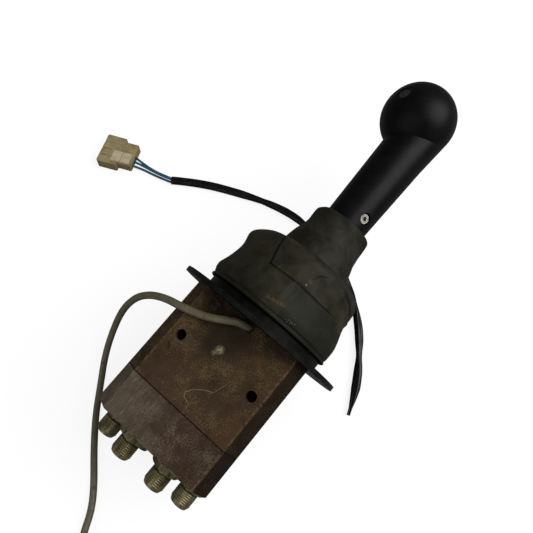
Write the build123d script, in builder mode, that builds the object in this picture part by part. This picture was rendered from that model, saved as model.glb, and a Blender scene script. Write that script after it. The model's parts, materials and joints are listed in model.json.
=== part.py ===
"""Hydraulic pilot joystick valve, lying on its back on a table.

Millimetres. The valve's own axis runs from the ports to the knob. It lies on the rim of its
mounting plate and on the rear edge of its port block, so that axis rises towards the knob.
"""
from build123d import *
from math import atan, cos, pi, radians, sin, sqrt, tan
import os

os.makedirs("parts", exist_ok=True)

# ---------------------------------------------------------------- driving dimensions
body_width = 88.0
body_corner = 8.7            # leg of the chamfered vertical corners
casing_height = 66.5
block_height = 28.0
block_bevel = 1.2            # bevel round the port block's lower edge
plate_radius = 64.5
plate_thick = 3.2
plate_bolt_circle = 115.0
plate_bolt_hole = 6.6
collar_radius = 47.2
collar_inner = 43.6
collar_top = 9.2
side_hole_spacing = 56.4
side_hole_depth = 33.0       # below the plate
side_hole_drill = 6.8
side_hole_length = 14.0

rod_circle = 20.0            # radius of the circle that the four push rods stand on
rod_radius = 6.0
rod_tip = 8.0                # spherical tip radius, centred at the pivot's height
rod_gap = 0.5                # between tip and cam disc with the lever upright
pivot_height = 14.0          # the universal joint's centre above the casing
disc_radius = 27.0
disc_thick = 5.0
fit = 0.05                   # radial clearance of a running or screwed fit
seat = 0.1                   # gap between rings and the grooves that hold them

guide_radius = 10.5
guide_length = 22.0
chamber_radius = 8.7
chamber_depth = 61.0
spool_radius = 4.0
spool_end = 76.0

neck_top_radius = 22.7
neck_top = 97.0
neck_straight = 84.5         # the neck is a cylinder above this height and a cone below it
neck_base_radius = 28.1
neck_base = 60.3
boot_wall = 2.5

grip_bottom = 88.0
grip_bottom_radius = 16.1
grip_top = 167.0
grip_top_radius = 18.6
ball_radius = 28.1
ball_shift = -7.3            # the ball sits off the grip's axis, to the thumb's side
ball_forward = 2.6           # and a little towards the front
ball_height = 197.97
button_azimuth = 230.6       # degrees round the valve axis, from its right-hand side
button_rise = -1.6
button_radius = 4.4
button_travel = 2.0
grip_screw_height = 107.1
grip_screw_azimuth = -50.6

hexagon = 19.0               # across flats
adapter_thread = 14.29
adapter_hex_height = 7.5
adapter_neck = 2.0
adapter_straight = 9.0
adapter_cone = 1.7
adapter_cone_radius = 6.0
adapter_bore = 5.0
adapter_shank = 13.16
adapter_turn = 16.0          # degrees from the valve's right-hand side to a corner
front_port = (14.1, 19.9)
side_port = (32.9, -8.8)

sleeve_diameter = 7.0
wire_diameter = 2.2
cable_diameter = 5.0
coil_radius = 28.0           # at the middle of the turns
coil_height = 13.2           # two turns, loosely stacked

# ---------------------------------------------------------------- the lying pose
valve_depth = casing_height + block_height
adapter_reach = adapter_hex_height + adapter_neck + adapter_straight + adapter_cone
half = body_width / 2
lean = atan((plate_radius - half) / (valve_depth - block_bevel))
row_high = ball_height * cos(lean) - ball_forward * sin(lean) + ball_radius
row_low = -(valve_depth + adapter_reach) * cos(lean) - (front_port[1] + adapter_cone_radius) * sin(lean)
valve = Plane(
    origin=(-(row_high + row_low) / 2, 0, plate_radius * cos(lean)),
    x_dir=(0, -1, 0),
    z_dir=(cos(lean), 0, sin(lean)),
)


def spot(x, y, z):
    """A point given in the valve's own axes: right, rear and up its axis."""
    return valve.from_local_coords(Vector(x, y, z))


def level(z, x=0.0, y=0.0):
    """The plane square to the valve axis at height z, centred on (x, y)."""
    return Plane(origin=spot(x, y, z), x_dir=valve.x_dir, z_dir=valve.z_dir)


def half_plane(x=0.0, y=0.0, z=0.0):
    """The plane that holds a turned piece's half outline: outwards and up the axis."""
    return Plane(origin=spot(x, y, z), x_dir=valve.x_dir, z_dir=-valve.y_dir)


def line_up(x=0.0, y=0.0):
    """The line parallel to the valve axis through (x, y)."""
    return Axis(spot(x, y, 0), valve.z_dir)


def heading(azimuth, rise=0.0):
    """A direction given by its angle round the valve axis and its rise towards the knob."""
    flat = cos(radians(rise))
    local = Vector(flat * cos(radians(azimuth)), flat * sin(radians(azimuth)), sin(radians(rise)))
    return valve.x_dir * local.X + valve.y_dir * local.Y + valve.z_dir * local.Z


def turned(outline, x=0.0, y=0.0):
    """A turned piece from its half outline, given as (radius, height) corners."""
    with BuildPart() as piece:
        with BuildSketch(half_plane(x, y)):
            with BuildLine():
                Polyline(*outline, close=True)
            make_face()
        revolve(axis=line_up(x, y))
    return piece


def ring(inner, outer, low, high, x=0.0, y=0.0):
    """A plain ring between two radii and two heights."""
    return turned([(inner, low), (outer, low), (outer, high), (inner, high)], x, y)


def save(piece, name):
    """Label a finished piece and write it as its own file."""
    piece.part.label = name
    export_step(piece.part, f"parts/{name}.step")
    return piece


def save_group(pieces, name):
    """Write several like solids as one file."""
    group = Compound(children=[piece.part for piece in pieces], label=name)
    export_step(group, f"parts/{name}.step")


rod_places = {
    "right": (rod_circle, 0.0),
    "rear": (0.0, rod_circle),
    "left": (-rod_circle, 0.0),
    "front": (0.0, -rod_circle),
}
port_places = [
    (-front_port[0], -front_port[1]),
    (front_port[0], -front_port[1]),
    (-front_port[0], front_port[1]),
    (front_port[0], front_port[1]),
    (-side_port[0], side_port[1]),
    (side_port[0], side_port[1]),
]
block_screw_spacing = 66.0
plate_screw_spacing = 53.0


def corners(spacing):
    """The four corners of a square pattern."""
    return [(sx * spacing / 2, sy * spacing / 2) for sx in (-1, 1) for sy in (-1, 1)]


# ---------------------------------------------------------------- casing
stud_radius = 7.0
stud_depth = 18.0
outlet_width = 6.6
outlet_depth = 6.6
outlet_length = 16.0
outlet_turn = 47.0           # degrees of the slot from the valve's right-hand side
outlet_centre = (2.4, -41.0)
outlet_entry = (5.6, -37.6)  # where the cable comes down through the plate
block_screw_radius = 4.0
block_screw_grip = 18.0
plate_screw_radius = 3.0
plate_screw_grip = 14.0

with BuildPart() as casing:
    with BuildSketch(level(-casing_height)):
        Rectangle(body_width, body_width)
        chamfer(vertices(), body_corner)
    extrude(amount=casing_height)
    with BuildSketch(level(0)):
        with Locations(*rod_places.values()):
            Circle(guide_radius + fit)
    extrude(amount=-guide_length, mode=Mode.SUBTRACT)
    with BuildSketch(level(-guide_length)):
        with Locations(*rod_places.values()):
            Circle(chamber_radius)
    extrude(amount=guide_length - chamber_depth, mode=Mode.SUBTRACT)
    with BuildSketch(level(-chamber_depth)):
        with Locations(*rod_places.values()):
            Circle(spool_radius + fit)
    extrude(amount=chamber_depth - casing_height, mode=Mode.SUBTRACT)
    with BuildSketch(level(0)):
        Circle(stud_radius)
    extrude(amount=-stud_depth, mode=Mode.SUBTRACT)
    with BuildSketch(level(0)):
        with Locations(*corners(plate_screw_spacing)):
            Circle(plate_screw_radius)
    extrude(amount=-plate_screw_grip, mode=Mode.SUBTRACT)
    with BuildSketch(level(-casing_height)):
        with Locations(*corners(block_screw_spacing)):
            Circle(block_screw_radius)
    extrude(amount=block_screw_grip, mode=Mode.SUBTRACT)
    # two threaded holes in the front face
    front_face = Plane(
        origin=spot(0, -half, -side_hole_depth), x_dir=valve.x_dir, z_dir=-valve.y_dir
    )
    with BuildSketch(front_face):
        with Locations((-side_hole_spacing / 2, 0), (side_hole_spacing / 2, 0)):
            Circle(side_hole_drill / 2)
    extrude(amount=-side_hole_length, mode=Mode.SUBTRACT)
    # the cable's outlet, a slot in the top face that opens in the front face
    with BuildSketch(level(0)):
        with Locations(outlet_centre):
            SlotOverall(outlet_length, outlet_width, rotation=outlet_turn)
    extrude(amount=-outlet_depth, mode=Mode.SUBTRACT)
save(casing, "casing")

# ---------------------------------------------------------------- port block
port_depth = 12.0
port_seal_radius = 8.2
port_seal_height = 1.8
head_radius = 6.5
head_height = 8.0
head_pocket = 0.5
seal_inner = 5.5
seal_outer = 7.5
seal_height = 1.5
spool_bore_end = 86.0

with BuildPart() as port_block:
    with BuildSketch(level(-valve_depth)):
        Rectangle(body_width, body_width)
        chamfer(vertices(), body_corner)
    extrude(amount=block_height)
    chamfer(port_block.faces().sort_by(Axis(valve.origin, valve.z_dir))[0].edges(), block_bevel)
    with BuildSketch(level(-casing_height)):
        with Locations(*rod_places.values()):
            Circle(spool_radius + fit)
    extrude(amount=casing_height - spool_bore_end, mode=Mode.SUBTRACT)
    with BuildSketch(level(-casing_height)):
        with Locations(*rod_places.values()):
            Circle(seal_outer)
            Circle(seal_inner, mode=Mode.SUBTRACT)
    extrude(amount=-seal_height, mode=Mode.SUBTRACT)
    with BuildSketch(level(-valve_depth)):
        with Locations(*port_places):
            Circle(adapter_shank / 2 + fit)
    extrude(amount=port_depth, mode=Mode.SUBTRACT)
    with BuildSketch(level(-valve_depth)):
        with Locations(*port_places):
            Circle(port_seal_radius + seat)
    extrude(amount=port_seal_height, mode=Mode.SUBTRACT)
    with BuildSketch(level(-valve_depth)):
        with Locations(*corners(block_screw_spacing)):
            Circle(block_screw_radius + 0.5)
    extrude(amount=block_height, mode=Mode.SUBTRACT)
    with BuildSketch(level(-valve_depth)):
        with Locations(*corners(block_screw_spacing)):
            Circle(head_radius + head_pocket)
    extrude(amount=head_height + head_pocket, mode=Mode.SUBTRACT)
save(port_block, "port_block")

save_group(
    [
        ring(seal_inner + seat, seal_outer - seat, -casing_height - seal_height, -casing_height, x, y)
        for x, y in rod_places.values()
    ],
    "block_seals",
)


def cap_screw(x, y, under_head, length, shank, head, high, socket, up=True):
    """A socket cap screw. under_head is the seat of its head, and up says where the head is."""
    sign = 1 if up else -1
    with BuildPart() as screw:
        with BuildSketch(level(under_head, x, y)):
            Circle(shank)
        extrude(amount=-sign * length)
        with BuildSketch(level(under_head, x, y)):
            Circle(head)
        extrude(amount=sign * high)
        with BuildSketch(level(under_head + sign * high, x, y)):
            RegularPolygon(socket / sqrt(3), 6)
        extrude(amount=-sign * high / 2, mode=Mode.SUBTRACT)
    return screw


save_group(
    [
        cap_screw(
            x, y, -valve_depth + head_height, block_height - head_height + block_screw_grip - 1,
            block_screw_radius - fit, head_radius, head_height, 6.0, up=False,
        )
        for x, y in corners(block_screw_spacing)
    ],
    "block_screws",
)

# ---------------------------------------------------------------- port adapters


def adapter(x, y):
    """A hexagon adapter: screwed shank above, male end with a sealing cone below."""
    face = -valve_depth
    neck = face - adapter_hex_height
    thread_top = neck - adapter_neck
    cone_top = thread_top - adapter_straight
    end = cone_top - adapter_cone
    bore = adapter_bore / 2
    shank = adapter_shank / 2
    thread = adapter_thread / 2
    top = face + port_depth - 1
    with BuildPart() as piece:
        with BuildSketch(level(neck, x, y)):
            RegularPolygon(hexagon / sqrt(3), 6, rotation=adapter_turn)
        extrude(amount=adapter_hex_height)
        with BuildSketch(half_plane(x, y)):
            with BuildLine():
                corner = hexagon / sqrt(3)
                Polyline(
                    (0, face), (corner + 1, face), (corner + 1, neck + 1.2),
                    (hexagon / 2 - 0.4, neck), (0, neck), close=True,
                )
            make_face()
        revolve(axis=line_up(x, y), mode=Mode.INTERSECT)
        with BuildSketch(half_plane(x, y)):
            with BuildLine():
                Polyline(
                    (0, top), (shank - 1, top), (shank, top - 1), (shank, face), (shank - 0.3, face),
                    (shank - 0.3, neck), (thread - 1, neck), (thread - 1, thread_top + 0.6),
                    (thread, thread_top), (thread, cone_top), (adapter_cone_radius, end), (0, end),
                    close=True,
                )
            make_face()
        revolve(axis=line_up(x, y))
        with BuildSketch(level(end, x, y)):
            Circle(bore)
        extrude(amount=top - end, mode=Mode.SUBTRACT)
    return piece


save_group([adapter(x, y) for x, y in port_places], "port_adapters")

# ---------------------------------------------------------------- mounting plate
plate_hole = rod_radius + 1.0
groove_radius = 45.6
collar_lip = 13.6

with BuildPart() as mounting_plate:
    with BuildSketch(half_plane()):
        with BuildLine():
            Polyline(
                (0, 0), (plate_radius, 0), (plate_radius, plate_thick), (collar_radius, plate_thick),
                (collar_radius, collar_top), (groove_radius, collar_top), (groove_radius, collar_lip),
                (collar_inner, collar_lip), (collar_inner, plate_thick), (0, plate_thick), close=True,
            )
        make_face()
    revolve(axis=line_up())
    with BuildSketch(level(0)):
        Circle(stud_radius + 0.2)
        with Locations(*rod_places.values()):
            Circle(plate_hole)
        with Locations(*corners(plate_screw_spacing)):
            Circle(plate_screw_radius + 0.3)
        with PolarLocations(plate_bolt_circle / 2, 4):
            Circle(plate_bolt_hole / 2)
        with Locations(outlet_entry):
            Circle(outlet_width / 2)
    extrude(amount=plate_thick, mode=Mode.SUBTRACT)
save(mounting_plate, "mounting_plate")

save_group(
    [
        cap_screw(x, y, plate_thick, plate_screw_grip + plate_thick - 1, plate_screw_radius - fit, 5.0,
                  6.0, 5.0)
        for x, y in corners(plate_screw_spacing)
    ],
    "plate_screws",
)

# ---------------------------------------------------------------- rubber boot
bead_radius = 49.8
skirt_radius = 49.8
waist_radius = 46.4
shoulder_radius = 45.7
lip_radius = grip_bottom_radius + 0.8
outlet_azimuth = 60.0        # degrees from the right-hand side towards the rear
outlet_height = 30.0
outlet_radius = 6.0


def boot_outline():
    """The boot's half outline: bead, skirt, waist, shoulder and neck, then back down inside."""
    outside = [
        (groove_radius + seat, collar_top + seat), (bead_radius - 1.6, collar_top + seat),
        (bead_radius, collar_top + 1.0), (bead_radius, collar_top + 2.0),
        (bead_radius - 1.0, collar_top + 3.0), (skirt_radius, collar_top + 4.2),
        (skirt_radius, 19.5), (waist_radius, 32.0), (shoulder_radius, 42.0),
        (shoulder_radius, 50.5), (shoulder_radius - 2.2, 55.5), (shoulder_radius - 8.0, 59.0),
        (neck_base_radius, neck_base), (neck_top_radius, neck_straight),
        (neck_top_radius, neck_top - 1.5), (neck_top_radius - 1.5, neck_top),
        (lip_radius, neck_top),
    ]
    inside = [
        (lip_radius, neck_top - 4.0), (neck_top_radius - boot_wall, neck_top - 6.0),
        (neck_top_radius - boot_wall, neck_straight - 0.5),
        (neck_base_radius - boot_wall, neck_base - boot_wall),
        (shoulder_radius - 8.5, 59.0 - boot_wall), (shoulder_radius - 4.4, 53.8),
        (shoulder_radius - boot_wall, 49.5), (shoulder_radius - boot_wall, 42.0),
        (waist_radius - boot_wall, 32.0), (skirt_radius - boot_wall, 18.5),
        (skirt_radius - boot_wall, collar_lip + 0.8), (groove_radius + seat, collar_lip + 0.4),
    ]
    return outside + inside


with BuildPart() as boot:
    with BuildSketch(half_plane()):
        with BuildLine():
            Polyline(*boot_outline(), close=True)
        make_face()
    revolve(axis=line_up())
    outlet_plane = Plane(
        origin=spot(0, 0, outlet_height), x_dir=valve.z_dir, z_dir=heading(outlet_azimuth)
    )
    with BuildSketch(outlet_plane.offset(skirt_radius + 4)):
        Circle(outlet_radius)
    extrude(amount=-10, mode=Mode.SUBTRACT)
save(boot, "boot")

grommet_inner = 41.5
grommet_outer = 53.6
with BuildPart() as boot_grommet:
    with BuildSketch(outlet_plane.offset(grommet_inner)):
        Circle(outlet_radius - seat)
    extrude(amount=grommet_outer - grommet_inner - 1.5)
    with BuildSketch(outlet_plane.offset(grommet_outer - 3.4)):
        Circle(outlet_radius + 2.0)
    with BuildSketch(outlet_plane.offset(grommet_outer)):
        Circle(outlet_radius - 1.0)
    loft()
    with BuildSketch(outlet_plane.offset(grommet_inner)):
        Circle(sleeve_diameter / 2 + 0.1)
    extrude(amount=grommet_outer - grommet_inner, mode=Mode.SUBTRACT)
save(boot_grommet, "boot_grommet")

# ---------------------------------------------------------------- universal joint
ear_half = 4.0
pin_radius = 2.2
lower_ear = (5.8, 9.6)
upper_ear = (4.6, 8.6)
flange_radius = 12.5
flange_high = 3.0
stud = stud_radius - fit
across_x = Plane(origin=spot(0, 0, pivot_height), x_dir=valve.y_dir, z_dir=valve.x_dir)
across_y = Plane(origin=spot(0, 0, pivot_height), x_dir=-valve.x_dir, z_dir=valve.y_dir)


def ear_profile(reach):
    """An ear's outline: a round end on the pin and a straight stem of the given reach."""
    Circle(ear_half)
    with Locations((0, reach / 2)):
        Rectangle(2 * ear_half, abs(reach))
    Circle(pin_radius + fit, mode=Mode.SUBTRACT)


with BuildPart() as lower_yoke:
    with BuildSketch(level(-stud_depth + 1)):
        Circle(stud)
    extrude(amount=stud_depth - 1 + plate_thick)
    with BuildSketch(level(plate_thick)):
        Circle(flange_radius)
    extrude(amount=flange_high)
    for side in (-1, 1):
        with BuildSketch(across_y.offset(side * lower_ear[0])):
            ear_profile(plate_thick + 1 - pivot_height)
        extrude(amount=side * (lower_ear[1] - lower_ear[0]))
save(lower_yoke, "lower_yoke")

with BuildPart() as joint_cross:
    with BuildSketch(across_y.offset(-lower_ear[0] + 0.2)):
        Circle(ear_half)
    extrude(amount=2 * lower_ear[0] - 0.4)
    with BuildSketch(across_x.offset(-upper_ear[0] + 0.2)):
        Circle(ear_half)
    extrude(amount=2 * upper_ear[0] - 0.4)
    with BuildSketch(across_y.offset(-lower_ear[0])):
        Circle(pin_radius + fit)
    extrude(amount=2 * lower_ear[0], mode=Mode.SUBTRACT)
    with BuildSketch(across_x.offset(-upper_ear[0])):
        Circle(pin_radius + fit)
    extrude(amount=2 * upper_ear[0], mode=Mode.SUBTRACT)
save(joint_cross, "joint_cross")


def pin(plane, start, length):
    """A plain round pin along a plane's normal."""
    with BuildPart() as piece:
        with BuildSketch(plane.offset(start)):
            Circle(pin_radius)
        extrude(amount=length)
    return piece


stub_start = pin_radius + 0.2
save_group(
    [
        pin(across_y, -lower_ear[1], 2 * lower_ear[1]),
        pin(across_x, stub_start, upper_ear[1] - stub_start),
        pin(across_x, -upper_ear[1], upper_ear[1] - stub_start),
    ],
    "joint_pins",
)

disc_bottom = pivot_height + rod_tip
disc_top = disc_bottom + disc_thick
bridge_bottom = pivot_height + 6.2
boss_radius = 7.0
lever_stud_radius = 6.0
lever_stud_top = disc_top + 26.0
nut_high = 8.0

with BuildPart() as upper_yoke:
    for side in (-1, 1):
        with BuildSketch(across_x.offset(side * upper_ear[0])):
            ear_profile(rod_tip)
        extrude(amount=side * (upper_ear[1] - upper_ear[0]))
    with BuildSketch(level(bridge_bottom)):
        Rectangle(2 * upper_ear[1], 2 * ear_half)
    extrude(amount=disc_bottom - bridge_bottom)
    with BuildSketch(level(disc_bottom)):
        Circle(boss_radius)
    extrude(amount=disc_thick)
    with BuildSketch(level(disc_top)):
        Circle(lever_stud_radius)
    extrude(amount=lever_stud_top - disc_top)
save(upper_yoke, "upper_yoke")

with BuildPart() as cam_disc:
    with BuildSketch(level(disc_bottom)):
        Circle(disc_radius)
        Circle(boss_radius + fit, mode=Mode.SUBTRACT)
    extrude(amount=disc_thick)
    chamfer(cam_disc.edges().filter_by(GeomType.CIRCLE).sort_by(SortBy.RADIUS)[-2:], 1.0)
save(cam_disc, "cam_disc")

with BuildPart() as lock_nut:
    with BuildSketch(level(disc_top)):
        RegularPolygon(hexagon / sqrt(3), 6)
        Circle(lever_stud_radius + fit, mode=Mode.SUBTRACT)
    extrude(amount=nut_high)
save(lock_nut, "lock_nut")

rod_top = 150.0
socket_radius = 8.5
lever_rod_radius = 6.5
socket_bottom = disc_top + nut_high + 0.2
socket_top = lever_stud_top + 5.0
bore_top = lever_stud_top + 1.0
lever_rod = turned(
    [
        (lever_stud_radius + fit, socket_bottom), (socket_radius, socket_bottom),
        (socket_radius, socket_top), (lever_rod_radius, socket_top + 2), (lever_rod_radius, rod_top - 1),
        (lever_rod_radius - 1, rod_top), (0, rod_top), (0, bore_top),
        (lever_stud_radius + fit, bore_top),
    ]
)
save(lever_rod, "lever_rod")

# ---------------------------------------------------------------- knob and its button
button_direction = heading(button_azimuth, button_rise)
ball_centre = spot(ball_shift, -ball_forward, ball_height)
button_plane = Plane(origin=ball_centre, z_dir=button_direction)
bezel_radius = 5.8
bezel_wall = 1.2
bezel_bottom = 20.0
button_top = 27.0
button_bottom = 18.6
switch_bottom = 6.0
switch_top = 14.4
screw_plane = Plane(origin=spot(0, 0, grip_screw_height), z_dir=heading(grip_screw_azimuth))
screw_head_radius = 3.5
screw_seat = 11.0
screw_face = 15.6
flare_radius = 20.3          # the grip widens into the ball
flare_height = 193.0
screw_recess = screw_head_radius + 1.0
screw_thread = 2.0

with BuildPart() as knob:
    with BuildSketch(half_plane()):
        with BuildLine():
            Polyline(
                (0, grip_bottom), (grip_bottom_radius - 1, grip_bottom),
                (grip_bottom_radius, grip_bottom + 1), (grip_top_radius, grip_top),
                (flare_radius, flare_height), (0, flare_height), close=True,
            )
        make_face()
    revolve(axis=line_up())
    with BuildSketch(half_plane(ball_shift, -ball_forward, ball_height)):
        Circle(ball_radius)
        with Locations((-ball_radius, 0)):
            Rectangle(2 * ball_radius, 2 * ball_radius, mode=Mode.SUBTRACT)
    revolve(axis=line_up(ball_shift, -ball_forward))
    with BuildSketch(level(grip_bottom)):
        Circle(lever_rod_radius + fit)
    extrude(amount=rod_top + 1 - grip_bottom, mode=Mode.SUBTRACT)
    with BuildSketch(button_plane.offset(switch_bottom - 0.5)):
        Circle(bezel_radius + fit)
    extrude(amount=ball_radius, mode=Mode.SUBTRACT)
    with BuildSketch(screw_plane.offset(screw_seat)):
        Circle(screw_recess)
    extrude(amount=grip_top_radius, mode=Mode.SUBTRACT)
    with BuildSketch(screw_plane.offset(lever_rod_radius - 0.5)):
        Circle(screw_thread + fit)
    extrude(amount=screw_seat - lever_rod_radius + 1, mode=Mode.SUBTRACT)
save(knob, "knob")

with BuildPart() as grip_screw:
    with BuildSketch(screw_plane.offset(lever_rod_radius + 0.1)):
        Circle(screw_thread)
    extrude(amount=screw_seat - lever_rod_radius)
    with BuildSketch(screw_plane.offset(screw_seat)):
        Circle(screw_head_radius)
    extrude(amount=screw_face - screw_seat)
    with BuildSketch(screw_plane.offset(screw_face)):
        RegularPolygon(3.0 / sqrt(3), 6)
    extrude(amount=-2.2, mode=Mode.SUBTRACT)
save(grip_screw, "grip_screw")

with BuildPart() as button_bezel:
    with BuildSketch(button_plane.offset(bezel_bottom)):
        Circle(bezel_radius)
        Circle(bezel_radius - bezel_wall, mode=Mode.SUBTRACT)
    extrude(amount=ball_radius - 0.8 - bezel_bottom)
save(button_bezel, "button_bezel")

with BuildPart() as push_button:
    with BuildSketch(button_plane.offset(button_bottom)):
        Circle(button_radius)
    extrude(amount=button_top - button_bottom)
    fillet(push_button.faces().sort_by(Axis(ball_centre, button_direction))[-1].edges(), 0.6)
save(push_button, "push_button")

with BuildPart() as button_spring:
    with BuildSketch(button_plane.offset(switch_top + 0.1)):
        Circle(3.8)
        Circle(3.0, mode=Mode.SUBTRACT)
    extrude(amount=button_bottom - switch_top - 0.2)
save(button_spring, "button_spring")

with BuildPart() as button_switch:
    with BuildSketch(button_plane.offset(switch_bottom)):
        Circle(bezel_radius - 0.2)
    extrude(amount=switch_top - switch_bottom)
save(button_switch, "button_switch")

# ---------------------------------------------------------------- pressure-reducing cartridges
tip_centre = pivot_height - rod_gap
tip_edge = tip_centre + sqrt(rod_tip**2 - rod_radius**2)
rod_flange = -30.0
rod_flange_radius = 7.8
rod_flange_high = 3.0
rod_bottom = rod_flange - rod_flange_high
seat_high = 2.0
return_outer = 8.2
return_inner = 6.6
balance_outer = 5.6
balance_inner = 4.4
balance_bottom = -50.0
stem_radius = 2.4
seal_gland = 8.5
gland_top = -1.0
gland_bottom = -6.0
ring_groove = 9.0
groove_low = -15.2
groove_high = -12.8


def push_rod(x, y):
    """A rod with a spherical tip above and a stop flange below its guide."""
    with BuildPart() as piece:
        with BuildSketch(half_plane(x, y)):
            with BuildLine():
                Polyline(
                    (0, tip_centre + rod_tip), (0, rod_bottom), (rod_flange_radius, rod_bottom),
                    (rod_flange_radius, rod_flange), (rod_radius, rod_flange), (rod_radius, tip_edge),
                )
                RadiusArc((rod_radius, tip_edge), (0, tip_centre + rod_tip), -rod_tip)
            make_face()
        revolve(axis=line_up(x, y))
    return piece


for side, (x, y) in rod_places.items():
    save(push_rod(x, y), f"push_rod_{side}")
    save(ring(stem_radius + 0.1, rod_flange_radius, rod_bottom - seat_high, rod_bottom, x, y),
         f"spring_seat_{side}")
    save(ring(return_inner, return_outer, -chamber_depth + seat, rod_bottom - seat_high - seat, x, y),
         f"return_spring_{side}")
    save(ring(balance_inner, balance_outer, balance_bottom, rod_bottom - seat_high, x, y),
         f"balance_spring_{side}")
    save(
        turned(
            [
                (0, -spool_end), (spool_radius, -spool_end), (spool_radius, -72.0), (3.0, -71.5),
                (3.0, -67.0), (spool_radius, -66.5), (spool_radius, -53.0), (balance_outer, -53.0),
                (balance_outer, balance_bottom), (stem_radius, balance_bottom),
                (stem_radius, rod_bottom - seat), (0, rod_bottom - seat),
            ],
            x, y,
        ),
        f"spool_{side}",
    )


def guide_plug(x, y):
    """A guide bush with a seal gland on top and a ring groove round it."""
    return turned(
        [
            (rod_radius + fit, -guide_length), (guide_radius, -guide_length),
            (guide_radius, groove_low), (ring_groove, groove_low), (ring_groove, groove_high),
            (guide_radius, groove_high), (guide_radius, 0), (seal_gland, 0),
            (seal_gland, gland_bottom), (rod_radius + fit, gland_bottom),
        ],
        x, y,
    )


rod_spots = list(rod_places.values())
save_group([guide_plug(x, y) for x, y in rod_spots], "guide_plugs")
save_group(
    [ring(rod_radius + fit, seal_gland - seat, gland_bottom, gland_top, x, y) for x, y in rod_spots],
    "rod_seals",
)
save_group(
    [ring(ring_groove + seat, guide_radius, groove_low + seat, groove_high - seat, x, y)
     for x, y in rod_spots],
    "guide_o_rings",
)
save_group(
    [ring(adapter_shank / 2 + seat, port_seal_radius, -valve_depth + seat,
          -valve_depth + port_seal_height - seat, x, y) for x, y in port_places],
    "adapter_seals",
)

# ---------------------------------------------------------------- cords and what is on them
floor_lie = 3.5              # height of a sleeve's centre on the table
cable_lie = 2.6

cable_outlet = Plane(origin=spot(*outlet_centre, -outlet_depth / 2), z_dir=heading(180 + outlet_turn))
with BuildPart() as cable_grommet:
    with BuildSketch(level(-outlet_depth + seat)):
        with Locations(outlet_centre):
            SlotOverall(outlet_length - 2 * seat, outlet_width - 2 * seat, rotation=outlet_turn)
    extrude(amount=outlet_depth - 2 * seat)
    with BuildSketch(level(-outlet_depth)):
        with Locations((0, -half + 2.0)):
            Rectangle(20, 4)
    extrude(amount=outlet_depth, mode=Mode.INTERSECT)
    with BuildSketch(cable_outlet.offset(-20)):
        Circle(cable_diameter / 2 + fit)
    extrude(amount=40, mode=Mode.SUBTRACT)
save(cable_grommet, "cable_grommet")


def corner_radii(points):
    """The largest arc that each corner of a route has room for."""
    radii = []
    for before, corner, after in zip(points, points[1:], points[2:]):
        first = Vector(*corner) - Vector(*before)
        second = Vector(*after) - Vector(*corner)
        turn = radians(first.get_angle(second))
        radii.append(0.45 * min(first.length, second.length) / tan(turn / 2))
    return radii


def cord(points, diameter, name):
    """A round cord along straight runs joined by tangent arcs."""
    radii = corner_radii(points)
    with BuildPart() as piece:
        with BuildLine() as route:
            FilletPolyline(*points, radius=radii)
        start = Vector(*points[1]) - Vector(*points[0])
        with BuildSketch(Plane(origin=points[0], z_dir=start)):
            Circle(diameter / 2)
        sweep()
    length = sum(edge.length for edge in route.edges())
    swept = piece.part.volume / (pi * diameter**2 / 4 * length)
    print(f"{name}: {length:.0f} mm, volume ratio {swept:.4f}, tightest {min(radii):.1f} mm")
    print("   radii", [round(value, 1) for value in radii])
    return save(piece, name)


sleeve_route = [
    (-14.2, -22.0, 32.2), (-12.4, -28.4, 21.4), (-7.2, -36.5, 11.7), (4.6, -41.9, 5.1),
    (20.2, -41.0, floor_lie), (33.5, -31.5, floor_lie), (44.0, -12.5, floor_lie),
    (55.5, 6.0, floor_lie), (66.0, 25.0, floor_lie), (69.5, 48.0, floor_lie),
    (65.0, 74.0, floor_lie), (53.0, 106.0, floor_lie), (36.0, 141.0, floor_lie),
    (20.5, 161.5, floor_lie),
]
tail_route = [
    (66.0, 10.0, floor_lie), (60.0, -4.0, floor_lie), (49.0, -22.5, floor_lie),
    (37.8, -39.0, floor_lie), (22.7, -55.5, floor_lie), (3.0, -69.8, floor_lie),
    (-16.5, -81.2, floor_lie), (-30.0, -86.8, floor_lie), (-41.8, -90.6, floor_lie),
]
cable_route = [
    (-63.7, -1.6, 102.3), (-65.7, 3.4, 107.4), (-69.4, 9.5, 109.1), (-74.9, 19.0, 106.6),
    (-79.0, 29.5, 105.5), (-81.7, 40.0, 104.6), (-82.8, 51.0, 99.5), (-85.6, 64.5, 87.5),
    (-91.0, 75.5, 73.0), (-100.5, 83.0, 54.5), (-114.0, 85.0, 33.0), (-131.0, 81.5, 14.5),
    (-149.5, 70.5, cable_lie), (-166.5, 57.0, cable_lie), (-184.0, 39.5, cable_lie),
    (-199.5, 22.0, cable_lie), (-211.5, 11.2, cable_lie), (-224.8, 4.6, cable_lie),
    (-241.0, -6.5, cable_lie), (-254.0, -15.2, cable_lie),
]
wire_routes = {
    "wire_1": [(22.3, 161.8, 3.6), (19.3, 171.5, 3.4), (16.9, 182.0, 3.2), (15.8, 192.5, 3.8),
               (14.9, 205.2, 5.5)],
    "wire_2": [(20.5, 161.5, 5.2), (17.5, 171.0, 5.0), (15.1, 181.5, 5.0), (13.4, 191.5, 5.0),
               (10.5, 203.2, 5.0)],
    "wire_3": [(18.8, 161.0, 3.2), (15.8, 170.5, 2.9), (13.3, 181.0, 2.6), (11.0, 191.0, 2.8),
               (6.2, 201.2, 4.6)],
}
cord(sleeve_route, sleeve_diameter, "harness_sleeve")
cord(tail_route, sleeve_diameter, "harness_tail")
cord(cable_route, cable_diameter, "signal_cable")
for name, route in wire_routes.items():
    cord(route, wire_diameter, name)

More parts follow.
